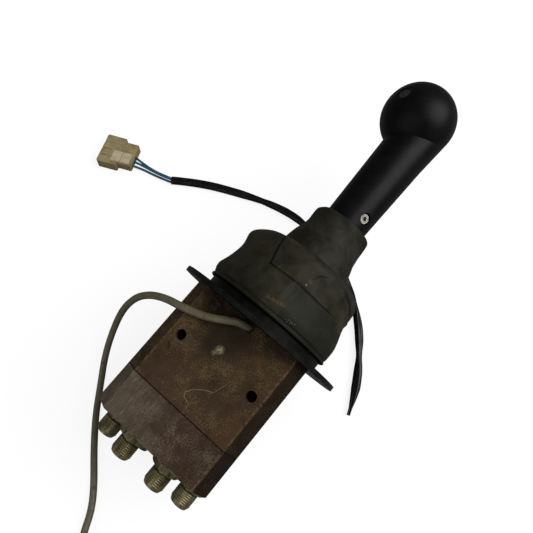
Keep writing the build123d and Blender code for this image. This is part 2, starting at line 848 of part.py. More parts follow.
joint_plane = Plane(origin=(64.0, 14.3, 0.1), x_dir=(0.484, 0.875, 0), z_dir=(0, 0, 1))
with BuildPart() as harness_joint:
    with BuildSketch(joint_plane):
        RectangleRounded(26, 17, 6)
    extrude(amount=8.4)
    fillet(harness_joint.edges().filter_by(GeomType.LINE, reverse=True).group_by(Axis.Z)[-1], 2.5)
save(harness_joint, "harness_joint")

# the connector: a stepped shell with a ribbed, hollow mating end and two lock blocks
shell_height = 9.5
shell_step = 0.6             # the rear half is this much lower, above and below
shell_rear_width = 24.5
shell_front_width = 31.0
shell_rear_length = 13.0
shell_length = 31.7
cell_pitch = 7.5
cell_width = 6.1
cell_high = 6.3
cell_depth = 8.0
rib_gap = 0.8
rib_depth = 0.5
rib_length = 10.0
lock_depth = 1.5
lock_length = 8.9
lock_width = 11.6
lock_across = -5.4
lock_places = [(lock_across, 6.4), (lock_across, 15.5)]
connector_plane = Plane(origin=(14.5, 202.3, 0.2), x_dir=(0.906, 0.423, 0), z_dir=(0, 0, 1))
mating_face = Plane(
    origin=connector_plane.from_local_coords(Vector(0, shell_length, shell_height / 2)),
    x_dir=connector_plane.x_dir, z_dir=connector_plane.y_dir,
)
with BuildPart() as connector_shell:
    with BuildSketch(connector_plane.offset(shell_step)):
        with Locations((0, shell_rear_length / 2)):
            Rectangle(shell_rear_width, shell_rear_length)
    extrude(amount=shell_height - 2 * shell_step)
    with BuildSketch(connector_plane):
        with Locations((0, (shell_rear_length + shell_length) / 2)):
            Rectangle(shell_front_width, shell_length - shell_rear_length)
    extrude(amount=shell_height)
    chamfer(connector_shell.edges().filter_by(Axis.Z), 0.8)
    with BuildSketch(connector_plane.offset(shell_height - lock_depth)):
        with Locations(*lock_places):
            Rectangle(lock_width, lock_length)
    extrude(amount=lock_depth, mode=Mode.SUBTRACT)
    with BuildSketch(connector_plane.offset(shell_height - rib_depth)):
        with Locations((0, shell_length - rib_length / 2)):
            with GridLocations(cell_pitch, 0, 3, 1):
                Rectangle(rib_gap, rib_length)
    extrude(amount=rib_depth, mode=Mode.SUBTRACT)
    with BuildSketch(mating_face):
        with GridLocations(cell_pitch, 0, 4, 1):
            Rectangle(cell_width, cell_high)
    extrude(amount=-cell_depth, mode=Mode.SUBTRACT)
save(connector_shell, "connector_shell")
with BuildPart() as connector_lock:
    with BuildSketch(connector_plane.offset(shell_height - lock_depth + fit)):
        with Locations(*lock_places):
            Rectangle(lock_width - 2 * seat, lock_length - 2 * seat)
    extrude(amount=lock_depth)
save(connector_lock, "connector_lock")

coil_centre = (-242.0, -41.0)
coil_plane = Plane(origin=(*coil_centre, 0), z_dir=(0, 0, 1))
with BuildPart() as cable_coil:
    with BuildSketch(coil_plane.offset(0.05)):
        Circle(coil_radius + cable_diameter / 2)
        Circle(coil_radius - cable_diameter / 2, mode=Mode.SUBTRACT)
    extrude(amount=coil_height)
save(cable_coil, "cable_coil")

plug_plane = Plane(
    origin=(coil_centre[0] + coil_radius, coil_centre[1], coil_height + seat),
    x_dir=(0, 1, 0), z_dir=(0, 0, 1),
)
with BuildPart() as cable_plug:
    with BuildSketch(plug_plane):
        RectangleRounded(20, 9, 1)
    extrude(amount=7)
    chamfer(cable_plug.faces().sort_by(Axis.Z)[-1].edges(), 0.6)
save(cable_plug, "cable_plug")
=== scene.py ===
# %% [markdown]
# # A hydraulic pilot joystick valve, lying on a table
# The valve is a square block of cast iron with hose adapters below, a round flange and a rubber
# boot above, and a long hand lever with a ball on top. Its exact parts come from the CAD frame.
# This file adds the camera, the light, the cords, the soft rubber and the finish of every surface.

# %% Load the frame
import json
import math

import bpy
import numpy as np
from mathutils import Matrix, Vector


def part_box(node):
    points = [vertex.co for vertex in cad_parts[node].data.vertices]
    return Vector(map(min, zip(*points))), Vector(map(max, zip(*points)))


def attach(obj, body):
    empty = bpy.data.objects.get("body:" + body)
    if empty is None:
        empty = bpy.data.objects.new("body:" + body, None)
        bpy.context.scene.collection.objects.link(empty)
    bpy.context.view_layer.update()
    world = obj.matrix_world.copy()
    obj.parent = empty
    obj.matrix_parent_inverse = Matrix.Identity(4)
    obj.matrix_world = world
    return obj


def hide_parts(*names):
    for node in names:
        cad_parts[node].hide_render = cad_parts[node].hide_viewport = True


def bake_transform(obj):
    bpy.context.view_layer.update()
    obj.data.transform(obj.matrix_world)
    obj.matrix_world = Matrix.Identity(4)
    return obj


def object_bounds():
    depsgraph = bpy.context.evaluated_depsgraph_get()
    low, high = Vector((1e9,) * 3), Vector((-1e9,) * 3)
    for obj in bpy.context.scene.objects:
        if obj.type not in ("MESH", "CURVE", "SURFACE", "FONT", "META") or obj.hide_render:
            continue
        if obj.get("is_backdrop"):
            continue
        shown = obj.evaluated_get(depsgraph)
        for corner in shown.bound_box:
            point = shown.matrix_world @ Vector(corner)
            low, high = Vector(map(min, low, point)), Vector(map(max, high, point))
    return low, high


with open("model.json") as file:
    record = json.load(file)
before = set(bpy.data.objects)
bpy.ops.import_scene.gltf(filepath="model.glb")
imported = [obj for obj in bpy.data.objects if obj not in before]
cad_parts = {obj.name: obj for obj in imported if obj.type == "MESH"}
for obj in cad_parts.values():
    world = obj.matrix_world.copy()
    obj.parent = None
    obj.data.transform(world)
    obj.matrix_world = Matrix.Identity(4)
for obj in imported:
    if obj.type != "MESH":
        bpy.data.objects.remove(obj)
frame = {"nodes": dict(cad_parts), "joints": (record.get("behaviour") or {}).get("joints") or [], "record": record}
cad_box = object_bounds()
mm = 0.001
print("pieces in the frame:", len(frame["nodes"]))

# %% [markdown]
# ## The valve's own axes
# The valve lies on its back, so its axis is tilted in the room. Everything that belongs to it is
# easier to say in its own axes: to its right, to its rear, and up towards the knob. The two
# hinges of the lever hold them: they cross at a pivot 14 mm above the casing's top face.

# %% Axes of the lying valve
hinges = {joint["name"]: joint for joint in frame["joints"]}
rearward = Vector(hinges["lever_side"]["axis"]).normalized()
rightward = Vector(hinges["lever_fore"]["axis"]).normalized()
upward = rightward.cross(rearward)
pivot_height = 14 * mm
datum = Vector(hinges["lever_side"]["pos_m"]) - upward * pivot_height


def at(right, rear, up):
    """A point given in millimetres along the valve's own axes."""
    return datum + (rightward * right + rearward * rear + upward * up) * mm


def lying(points):
    """The same for an array of points."""
    axes = np.array([rightward, rearward, upward])
    return np.array(datum) + np.asarray(points, float) @ axes * mm


print("datum at", [round(value, 4) for value in datum], "axis", [round(value, 3) for value in upward])

# %% [markdown]
# ## The camera
# The camera looks steeply down at the table from the front of the valve. A lens of 31.3 mm on a
# 36 mm sensor gives the mild perspective that makes the port end a little larger than the knob.

# %% Camera
camera_place = at(41.38, -323.21, -10.25)
camera_forward = Vector((0.35257, 0.19612, -0.91500))
camera_upward = Vector((0.68405, 0.61322, 0.39502))
camera_side = camera_forward.cross(camera_upward)
lens = bpy.data.cameras.new("camera")
lens.lens = 31.30
lens.sensor_width = 36
camera = bpy.data.objects.new("camera", lens)
turn = Matrix((camera_side, camera_upward, -camera_forward)).transposed()
camera.matrix_world = Matrix.Translation(camera_place) @ turn.to_4x4()
bpy.context.scene.collection.objects.link(camera)
bpy.context.scene.camera = camera
bpy.context.scene.view_settings.view_transform = "Standard"
print("camera at", [round(value, 3) for value in camera_place])

# %% [markdown]
# ## The cords' routes
# A cord is a fixed length of something bendy. Each route is a short list of points that a smooth
# NURBS line passes near. The line sags and lies as the cord does, and its length is the cord's
# real length. The same points steer the plain tubes of the CAD model.

# %% Routes, in millimetres
floor_lie = 3.5
cable_lie = 2.6
sleeve_route = [
    (-14.2, -22.0, 32.2), (-12.4, -28.4, 21.4), (-7.2, -36.5, 11.7), (4.6, -41.9, 5.1),
    (20.2, -41.0, floor_lie), (33.5, -31.5, floor_lie), (44.0, -12.5, floor_lie),
    (55.5, 6.0, floor_lie), (66.0, 25.0, floor_lie), (69.5, 48.0, floor_lie),
    (65.0, 74.0, floor_lie), (53.0, 106.0, floor_lie), (36.0, 141.0, floor_lie),
    (20.5, 161.5, floor_lie),
]
tail_route = [
    (66.0, 10.0, floor_lie), (60.0, -4.0, floor_lie), (49.0, -22.5, floor_lie),
    (37.8, -39.0, floor_lie), (22.7, -55.5, floor_lie), (3.0, -69.8, floor_lie),
    (-16.5, -81.2, floor_lie), (-30.0, -86.8, floor_lie), (-41.8, -90.6, floor_lie),
]
cable_route = [
    (-63.7, -1.6, 102.3), (-65.7, 3.4, 107.4), (-69.4, 9.5, 109.1), (-74.9, 19.0, 106.6),
    (-79.0, 29.5, 105.5), (-81.7, 40.0, 104.6), (-82.8, 51.0, 99.5), (-85.6, 64.5, 87.5),
    (-91.0, 75.5, 73.0), (-100.5, 83.0, 54.5), (-114.0, 85.0, 33.0), (-131.0, 81.5, 14.5),
    (-149.5, 70.5, cable_lie), (-166.5, 57.0, cable_lie), (-184.0, 39.5, cable_lie),
    (-199.5, 22.0, cable_lie), (-211.5, 11.2, cable_lie), (-224.8, 4.6, cable_lie),
    (-241.0, -6.5, cable_lie),
]
wire_routes = {
    "wire_1": [(22.3, 161.8, 3.6), (19.3, 171.5, 3.4), (16.9, 182.0, 3.2), (15.8, 192.5, 3.8),
               (14.9, 205.2, 5.5)],
    "wire_2": [(20.5, 161.5, 5.2), (17.5, 171.0, 5.0), (15.1, 181.5, 5.0), (13.4, 191.5, 5.0),
               (10.5, 203.2, 5.0)],
    "wire_3": [(18.8, 161.0, 3.2), (15.8, 170.5, 2.9), (13.3, 181.0, 2.6), (11.0, 191.0, 2.8),
               (6.2, 201.2, 4.6)],
}
cable_diameter = 5.0
wire_diameter = 2.2

# %% The coil that takes up the cable's spare length
coil_centre = Vector((-242.0, -41.0))
coil_radius = 28.0
coil_start = 115
coil_end = 360 + 335
points_per_turn = 14
hull = coil_radius / (0.5 + 0.5 * math.cos(math.pi / points_per_turn))
coil_route = []
steps = round((coil_end - coil_start) / 360 * points_per_turn)
for step in range(steps + 1):
    turned = (coil_end - coil_start) * step / steps
    angle = math.radians(coil_start + turned)
    rise = cable_lie + cable_diameter * turned / 360
    coil_route.append((coil_centre.x + hull * math.cos(angle), coil_centre.y + hull * math.sin(angle), rise))
print("coil of", round((coil_end - coil_start) / 360, 2), "turns")


def nurbs_line(name, route):
    """A NURBS curve object whose control points are the route, given in millimetres."""
    data = bpy.data.curves.new(name, "CURVE")
    data.dimensions = "3D"
    data.resolution_u = 8
    spline = data.splines.new("NURBS")
    spline.points.add(len(route) - 1)
    for point, place in zip(spline.points, route):
        point.co = (*(value * mm for value in place), 1)
    spline.order_u = 3
    spline.use_endpoint_u = True
    line = bpy.data.objects.new(name, data)
    bpy.context.scene.collection.objects.link(line)
    return line


def line_points(route):
    """The points of the smooth line, read from a curve with no thickness."""
    line = nurbs_line("route", route)
    bpy.context.view_layer.update()
    evaluated = line.evaluated_get(bpy.context.evaluated_depsgraph_get())
    mesh = bpy.data.meshes.new_from_object(evaluated)
    points = np.array([vertex.co for vertex in mesh.vertices])
    bpy.data.meshes.remove(mesh)
    bpy.data.objects.remove(line)
    return points


def line_length(points):
    return float(np.linalg.norm(np.diff(points, axis=0), axis=1).sum())


def round_cord(name, route, diameter):
    """A round cord as a bevelled curve, and its length in metres."""
    line = nurbs_line(name, route)
    line.data.bevel_depth = diameter / 2 * mm
    line.data.bevel_resolution = 5
    line.data.use_fill_caps = True
    return line, line_length(line_points(route))


# %% [markdown]
# ## Shader sums as plain expressions
# A finish is mostly arithmetic on patterns. Writing `mask * 0.5 + stain` is easier to read than
# twenty linked Math nodes, so a small class wraps each socket and adds the nodes itself.

# %% The socket class
class Value:
    """A shader socket that takes part in sums."""

    def __init__(self, shader, socket):
        self.shader = shader
        self.socket = socket

    def __add__(self, other):
        return self.shader.combined("ADD", self, other)

    __radd__ = __add__

    def __sub__(self, other):
        return self.shader.combined("SUBTRACT", self, other)

    def __rsub__(self, other):
        return self.shader.combined("SUBTRACT", other, self)

    def __mul__(self, other):
        return self.shader.combined("MULTIPLY", self, other)

    __rmul__ = __mul__


# %% The shader class
class Shader:
    """One material, patterned in millimetres of the valve's own axes: right, rear and up."""

    def __init__(self, name, **fixed):
        self.material = bpy.data.materials.new(name)
        self.material.use_nodes = True
        self.tree = self.material.node_tree
        self.surface = self.tree.nodes["Principled BSDF"]
        for key, number in fixed.items():
            self.surface.inputs[key.replace("_", " ")].default_value = number
        coordinates = self.tree.nodes.new("ShaderNodeTexCoord")
        mapping = self.tree.nodes.new("ShaderNodeMapping")
        rotation = Matrix((rightward, rearward, upward))
        mapping.inputs["Scale"].default_value = (1 / mm,) * 3
        mapping.inputs["Rotation"].default_value = rotation.to_euler("XYZ")
        mapping.inputs["Location"].default_value = -(rotation @ datum) / mm
        self.tree.links.new(coordinates.outputs["Object"], mapping.inputs["Vector"])
        self.place = Value(self, mapping.outputs["Vector"])
        self.right, self.rear, self.up = (
            self.node("ShaderNodeSeparateXYZ", {}, {0: self.place}, out=n) for n in range(3)
        )

    def node(self, kind, settings, sockets, out=0):
        """Adds a node: its settings first, then the values or links of its sockets."""
        made = self.tree.nodes.new(kind)
        for key, setting in settings.items():
            if key == "stops":
                self.set_stops(made.color_ramp, setting)
            else:
                setattr(made, key, setting)
        for key, value in sockets.items():
            if isinstance(value, Value):
                self.tree.links.new(value.socket, made.inputs[key])
            else:
                made.inputs[key].default_value = value
        return Value(self, made.outputs[out])

    def set_stops(self, ramp, stops):
        while len(ramp.elements) < len(stops):
            ramp.elements.new(0.5)
        for element, (position, colour) in zip(ramp.elements, stops):
            element.position = position
            element.color = (*colour, 1)

    def stretched(self, right, rear, up):
        return self.node(
            "ShaderNodeVectorMath", {"operation": "MULTIPLY"}, {0: self.place, 1: (right, rear, up)}
        )

    def noise(self, size, detail=4, rough=0.55, at=None, twist=0.0):
        """Soft noise whose patches are about size millimetres across, from 0 to 1."""
        return self.node(
            "ShaderNodeTexNoise", {},
            {"Vector": at or self.place, "Scale": 1 / size, "Detail": detail, "Roughness": rough,
             "Distortion": twist},
        )

    def cells(self, size):
        """Distance to the nearest of many scattered points, about size millimetres apart."""
        return self.node("ShaderNodeTexVoronoi", {}, {"Vector": self.place, "Scale": 1 / size})

    def step(self, value, low, high):
        """0 below low, 1 above high, smooth between."""
        return self.node(
            "ShaderNodeMapRange", {"interpolation_type": "SMOOTHSTEP"}, {0: value, 1: low, 2: high}
        )

    def near(self, centre, radius, soft):
        """1 inside a ball about a point of the valve, fading over soft millimetres."""
        away = self.node(
            "ShaderNodeVectorMath", {"operation": "DISTANCE"}, {0: self.place, 1: centre}, out=1
        )
        return 1 - self.step(away, radius - soft / 2, radius + soft / 2)

    def to_segment(self, start, end):
        """Distance in millimetres to a straight line on the front, seen square on."""
        start = Vector((start[0], 0, start[1]))
        along = Vector((end[0], 0, end[1])) - start
        flat = self.stretched(1, 0, 1)
        away = self.node("ShaderNodeVectorMath", {"operation": "SUBTRACT"}, {0: flat, 1: start})
        share = self.node(
            "ShaderNodeVectorMath", {"operation": "DOT_PRODUCT"}, {0: away, 1: along / along.length_squared},
            out=1,
        )
        share = self.node("ShaderNodeClamp", {}, {0: share})
        foot = self.node("ShaderNodeVectorMath", {"operation": "SCALE"}, {0: along, "Scale": share})
        return self.node("ShaderNodeVectorMath", {"operation": "DISTANCE"}, {0: away, 1: foot}, out=1)

    def stroke(self, points, width, soft, waver=0.0):
        """1 along a line through (right, up) points of the front, in millimetres."""
        nearest = self.to_segment(points[0], points[1])
        for start, end in zip(points[1:], points[2:]):
            nearest = self.combined("MINIMUM", nearest, self.to_segment(start, end))
        if waver:
            nearest = nearest + (self.noise(2.5, detail=4) - 0.5) * waver
        return (1 - self.step(nearest, width / 2 - soft / 2, width / 2 + soft / 2)) * self.front()

    def combined(self, operation, first, second):
        return self.node("ShaderNodeMath", {"operation": operation}, {0: first, 1: second})

    def size_of(self, value):
        return self.node("ShaderNodeMath", {"operation": "ABSOLUTE"}, {0: value})

    def front(self):
        """1 on the front half, 0 behind the axis."""
        return 1 - self.step(self.rear, -12, -8)

    def mix(self, factor, first, second):
        """The second colour laid over the first, as thick as factor says."""

        def four(colour):
            return colour if isinstance(colour, Value) else (*colour, 1)

        return self.node(
            "ShaderNodeMix", {"data_type": "RGBA", "clamp_factor": True},
            {0: factor, 6: four(first), 7: four(second)}, out=2,
        )

    def ramp(self, value, stops):
        return self.node("ShaderNodeValToRGB", {"stops": stops}, {0: value})

    def finish(self, colour, rough, relief, height):
        """Links what varies. relief is a height map of about height millimetres."""
        bump = self.node("ShaderNodeBump", {}, {"Strength": 1.0, "Distance": height * mm, "Height": relief})
        for key, value in {"Base Color": colour, "Roughness": rough, "Normal": bump}.items():
            self.tree.links.new(value.socket, self.surface.inputs[key])
        return self.material


# %% [markdown]
# ## Cast iron
# The casing is sand-cast iron, milled on its faces, that has stood outdoors. Three things make
# it: rust brown that shifts between ochre and purple over centimetres, pale speckles of worn
# metal under a millimetre, and dark stains where oil sat. The milled port block is greyer, with
# fine scratches.

# %% Casing and port block
half_width = 44.0
chamfer_leg = 8.7
chamfer_edge = half_width - chamfer_leg
joint_height = -66.5
block_foot = -94.0
pale_metal = (0.150, 0.128, 0.080)
crack_dark = (0.0030, 0.0018, 0.0012)


def iron(name, worn, pale_amount):
    """Rusty cast iron. worn is the colour of bare worn metal."""
    shader = Shader(name, Specular_IOR_Level=0.10)
    right, up = shader.right, shader.up
    patches = shader.noise(24, detail=5, rough=0.6, twist=0.5)
    rust = shader.ramp(
        patches,
        [(0.30, (0.0210, 0.0110, 0.0056)), (0.44, (0.0310, 0.0165, 0.0095)),
         (0.56, (0.0240, 0.0132, 0.0056)), (0.70, (0.0165, 0.0085, 0.0026))],
    )
    # darker towards the top and the right: partly the rust's own tone, partly painted shade
    rust_and_shade_towards_top = shader.step(up + right * 0.9, -75, 15)
    rust = shader.mix(rust_and_shade_towards_top * 0.55, rust, (0.0120, 0.0062, 0.0020))
    grain = shader.noise(1.0, detail=6, rough=0.78)
    speckle = shader.step(grain + shader.noise(10, detail=3) * 0.4, 0.68, 0.84)
    colour = shader.mix(speckle * pale_amount, rust, worn)
    pits = shader.step(shader.noise(1.5, detail=5, rough=0.8), 0.30, 0.43)
    colour = shader.mix((1 - pits) * 0.75, colour, (0.0085, 0.0046, 0.0024))
    # a dark line where the casing meets the port block, and a painted highlight along the chamfers' edges, broken
    # by noise
    joint = shader.stroke([(-half_width, joint_height), (half_width, joint_height)], 0.7, 0.4, waver=0.7)
    from_edge = shader.size_of(shader.size_of(right) - chamfer_edge)
    chamfer_edge_highlight = (1 - shader.step(from_edge, 0.25, 0.8)) * shader.front()
    chamfer_edge_highlight = chamfer_edge_highlight * shader.step(shader.noise(3, detail=5, rough=0.7), 0.44, 0.56)
    colour = shader.mix(chamfer_edge_highlight * 0.7, colour, (0.080, 0.052, 0.027))
    return shader, colour, joint, grain


def on_face(right, up):
    """A point of the casing's front face."""
    return right, -half_width, up


def casing_finish():
    shader, colour, joint, grain = iron("casing_iron", (0.082, 0.056, 0.022), 0.7)
    right, up = shader.right, shader.up
    ragged = shader.step(shader.noise(5, detail=5, rough=0.65), 0.40, 0.56)
    stain = shader.near(on_face(-23.5, -3), 8, 8) * ragged
    colour = shader.mix(stain * 0.95, colour, (0.0034, 0.0010, 0.0008))
    olive = shader.near(on_face(-7, -17), 13, 12) * 0.8
    colour = shader.mix(olive, colour, (0.0090, 0.0062, 0.0020))
    oil = shader.near(on_face(-12, -27), 5, 9) * 0.55
    colour = shader.mix(oil, colour, (0.0080, 0.0052, 0.0024))
    clouds = shader.step(shader.noise(9, detail=5, rough=0.6), 0.36, 0.6)
    ochre = shader.near(on_face(19, -20), 9, 12) * clouds
    colour = shader.mix(ochre * 0.7, colour, (0.0480, 0.0240, 0.0060))
    worn_right = shader.step(right - up * 0.15, 22, 42) * clouds
    worn_right = worn_right * (1 - shader.step(right, chamfer_edge - 0.3, chamfer_edge + 0.7))
    colour = shader.mix(worn_right * 0.5, colour, (0.0440, 0.0220, 0.0070))
    scuff = shader.near(on_face(-3.7, -24.7), 2.0, 3.6) + shader.near(on_face(-5.5, -28), 1.2, 3.0) * 0.6
    scuff = scuff * shader.step(shader.noise(1.1, detail=4), 0.34, 0.54)
    colour = shader.mix(scuff, colour, pale_metal)
    scratch = shader.stroke(
        [(9, -46), (4.4, -48.1), (-0.9, -52.1), (-3.5, -56.2), (-2.0, -58.7), (2.3, -59.5), (3.4, -62.9)],
        0.35, 0.5, waver=0.5,
    )
    scratch = scratch + shader.stroke([(8, -48), (10.1, -44.8), (13.1, -35.6)], 0.25, 0.4, waver=0.5) * 0.6
    colour = shader.mix(scratch * 0.6, colour, (0.180, 0.140, 0.090))
    mark = shader.stroke([(-31.5, -40.5), (-29.9, -41.8), (-28.5, -43.5)], 1.0, 1.2, waver=1.4)
    colour = shader.mix(mark * 0.8, colour, (0.0080, 0.0050, 0.0030))
    # painted shade: the right chamfer and the right side are darker, with streaks running up the casing
    sides = shader.step(right, chamfer_edge + 0.7, chamfer_edge + 1.4)
    streaks = shader.noise(1.5, detail=3, at=shader.stretched(1, 1, 0.03))
    painted_side_shade = shader.mix(streaks, (0.0020, 0.0009, 0.0003), (0.0085, 0.0042, 0.0014))
    colour = shader.mix(sides * 0.8, colour, painted_side_shade)
    colour = shader.mix(joint * 0.9, colour, crack_dark)
    return shader.finish(
        colour, rough=grain * 0.25 + 0.55,
        relief=grain + shader.noise(4, detail=3) * 1.5 - joint * 3 - scratch, height=0.22,
    )


def block_finish():
    shader, colour, joint, grain = iron("block_iron", (0.105, 0.082, 0.056), 0.7)
    right, up = shader.right, shader.up
    purple = shader.step(shader.noise(14, detail=4), 0.40, 0.62)
    colour = shader.mix(purple * 0.45, colour, (0.0205, 0.0105, 0.0078))
    slanted = shader.node(
        "ShaderNodeMapping", {},
        {"Vector": shader.place, "Rotation": (0, math.radians(40), 0), "Scale": (1, 1, 0.09)},
    )
    brushed = shader.step(shader.noise(0.7, detail=4, rough=0.7, at=slanted), 0.50, 0.68)
    # lighter towards the lower left, partly paler metal and partly painted light; the milled streaks are brighter
    # there as painted sheen
    pale = shader.step(right * -1 - up * 0.7 + shader.noise(10, detail=5, rough=0.65) * 44, 62, 112)
    colour = shader.mix(pale * 0.55, colour, (0.066, 0.052, 0.036))
    colour = shader.mix(brushed * pale * 0.6, colour, (0.150, 0.125, 0.090))
    dark_brush = shader.step(shader.noise(1.1, detail=4, rough=0.7, at=slanted), 0.54, 0.70)
    colour = shader.mix(dark_brush * 0.55, colour, (0.0100, 0.0055, 0.0030))
    # a painted highlight along the block's bottom edge, broken by noise
    bottom_edge_highlight = 1 - shader.step(up, block_foot + 0.4, block_foot + 1.0)
    bottom_edge_highlight = bottom_edge_highlight * shader.step(shader.noise(4, detail=4), 0.42, 0.55)
    colour = shader.mix(bottom_edge_highlight * 0.6, colour, (0.130, 0.108, 0.080))
    # painted shade: the right chamfer and the right side are darker
    sides = shader.step(right, chamfer_edge + 0.7, chamfer_edge + 1.4)
    colour = shader.mix(sides * 0.85, colour, (0.0040, 0.0017, 0.0010))
    colour = shader.mix(joint * 0.9, colour, crack_dark)
    return shader.finish(
        colour, rough=grain * 0.25 + 0.5, relief=grain + brushed * 0.6 - joint * 3, height=0.14
    )


# %% [markdown]
# ## Rubber, paint and plastic
# The boot's rubber is olive grey under ochre dust. Black paint, nylon and vinyl differ mainly in
# how they shine, so their colours are near black and their roughness does the work.

# %% Boot rubber
def boot_finish():
    shader = Shader("boot_rubber", Specular_IOR_Level=0.10)
    right, up = shader.right, shader.up
    cloud = shader.noise(14, detail=5, rough=0.62, twist=0.8)
    rubber = shader.ramp(
        cloud,
        [(0.30, (0.0058, 0.0055, 0.0030)), (0.44, (0.0098, 0.0092, 0.0050)),
         (0.57, (0.0145, 0.0134, 0.0072)), (0.72, (0.0200, 0.0178, 0.0090))],
    )
    # clean grey-green rubber right of the mould's seam, and painted shade under the bead
    seam = [(9.1, 13.0), (9.1, 21.2), (10.3, 31.9), (8.5, 36.0)]
    clean = shader.step(right + up * 0.02, 9.6, 10.6) * (1 - shader.step(up, 33, 37)) * shader.front()
    rubber = shader.mix(clean * 0.65, rubber, (0.0060, 0.0066, 0.0044))
    # painted shade: darker below about 15 mm of height, over the bead and its groove
    low = 1 - shader.step(up + shader.noise(9) * 6, 13.5, 17)
    rubber = shader.mix(low * 0.8, rubber, (0.0038, 0.0040, 0.0026))
    left = 1 - shader.step(right + shader.noise(8) * 10, -38, -16)
    rubber = shader.mix(left * 0.55, rubber, (0.0200, 0.0178, 0.0085))
    neck = shader.step(up, 56, 60)
    grey = shader.mix(shader.step(cloud, 0.36, 0.66), (0.0066, 0.0066, 0.0040), (0.0150, 0.0144, 0.0086))
    rubber = shader.mix(neck * 0.7, rubber, grey)
    rubber = shader.mix(shader.step(up, 86, 97) * 0.45, rubber, (0.0060, 0.0058, 0.0040))
    smudges = shader.stroke([(-14, 67), (-9.3, 73.2), (-2.1, 71.7), (3, 66)], 3.5, 4, waver=6)
    rubber = shader.mix(smudges * 0.6, rubber, (0.0032, 0.0030, 0.0016))
    # ochre dust, thick in a few dabs and thin all over
    dust = shader.step(shader.noise(2.6, detail=6, rough=0.7), 0.52, 0.75)
    rubber = shader.mix(dust * 0.35, rubber, (0.0290, 0.0220, 0.0100))
    rough_edge = shader.step(shader.noise(1.8, detail=5, rough=0.7), 0.40, 0.56)
    dabs = shader.stroke([(-1.5, 18.0), (4.7, 18.6), (9.0, 19.9)], 2.2, 2.0, waver=2.5) * rough_edge
    dabs = dabs + shader.near((12, -44, 41.7), 1.4, 2.4)
    dabs = dabs + shader.stroke([(-31, 44), (-24, 46.5), (-20, 43)], 1.0, 2.2, waver=3) * rough_edge * 0.5
    rubber = shader.mix(dabs, rubber, (0.0440, 0.0290, 0.0110))
    worn = shader.stroke([(39.8, 42), (43.6, 34)], 4.5, 4.0, waver=3)
    rubber = shader.mix(worn * 0.5, rubber, (0.0330, 0.0270, 0.0140))
    specks = shader.cells(1.6)
    specks = (1 - shader.step(specks, 0.10, 0.22)) * shader.stroke([(13, 13.8), (23.3, 15.2)], 2.4, 1.0)
    specks = specks + shader.near((11.4, -45.4, 38.6), 0.5, 0.5)
    rubber = shader.mix(specks * 0.8, rubber, (0.150, 0.140, 0.100))
    # painted shade in the creases, and the pale lip of the folded band
    shaded_creases = shader.stroke([(-18.9, 55), (-18.5, 52), (-17.3, 43.2), (-14.9, 35.8)], 0.9, 0.8, waver=0.5)
    shaded_creases = shaded_creases + shader.stroke([(-14.9, 35.6), (-3.9, 36.0), (4, 35.6)], 0.6, 0.7, waver=0.6)
    shaded_creases = shaded_creases + shader.stroke(
        [(6, 35.5), (17.2, 35.4), (28.4, 35.2), (37.5, 36.0)], 0.3, 0.6, waver=0.7) * 0.6
    shaded_creases = shaded_creases + shader.stroke([(12.4, 43.5), (14.3, 47.9), (19, 51)], 0.5, 0.8, waver=0.8) * 0.8
    shaded_creases = shaded_creases + shader.stroke([(31, 53.3), (39, 50.5), (43.4, 45.6)], 1.0, 1.2, waver=1.2) * 0.8
    rubber = shader.mix(shaded_creases * 0.85, rubber, (0.0020, 0.0019, 0.0012))
    lip = shader.step(up, 35.9, 36.5) * (1 - shader.step(up, 36.5, 37.3)) * shader.step(right, -14, -12)
    lip = lip * (1 - shader.step(right, 24, 36)) * shader.front()
    rubber = shader.mix(lip * 0.3, rubber, (0.0300, 0.0260, 0.0160))
    ridge = shader.stroke(seam, 0.35, 0.5, waver=0.3)
    rubber = shader.mix(ridge * 0.35, rubber, (0.0300, 0.0280, 0.0190))
    grain = shader.noise(0.8, detail=5, rough=0.7)
    return shader.finish(
        rubber, rough=dust * 0.15 + 0.58, relief=grain * 0.7 + cloud * 2 - shaded_creases * 2, height=0.14
    )


# %% Plain finishes, each a dark and a light tone with its own grain
def toned_finish(name, dark, light, size, rough, metal=0.0, height=0.03, specular=0.3, stretch=(1, 1, 1)):
    """A finish that wanders between two tones, with a fine grain of its own."""
    shader = Shader(name, Specular_IOR_Level=specular, Metallic=metal)
    spread = shader.noise(size, detail=5, rough=0.65, at=shader.stretched(*stretch))
    fine = shader.noise(size / 12, detail=3, at=shader.stretched(*stretch))
    tone = shader.mix(shader.step(spread * 0.8 + fine * 0.2, 0.34, 0.66), dark, light)
    return shader.finish(tone, rough=spread * 0.2 + (rough - 0.1), relief=fine, height=height)


def cable_finish():
    """Grey plastic, yellowed, with brown dirt worked into it."""
    shader = Shader("cable_grey", Specular_IOR_Level=0.3)
    tone = shader.mix(shader.noise(9, detail=4), (0.0440, 0.0370, 0.0185), (0.0980, 0.0880, 0.0540))
    dirt = shader.step(shader.noise(3.2, detail=6, rough=0.75), 0.56, 0.68)
    tone = shader.mix(dirt * 0.8, tone, (0.0085, 0.0060, 0.0030))
    return shader.finish(tone, rough=dirt * 0.2 + 0.5, relief=dirt, height=0.05)


# %% Every material slot gets its finish
def tones(dark, light, size, rough, **others):
    return {"dark": dark, "light": light, "size": size, "rough": rough, **others}


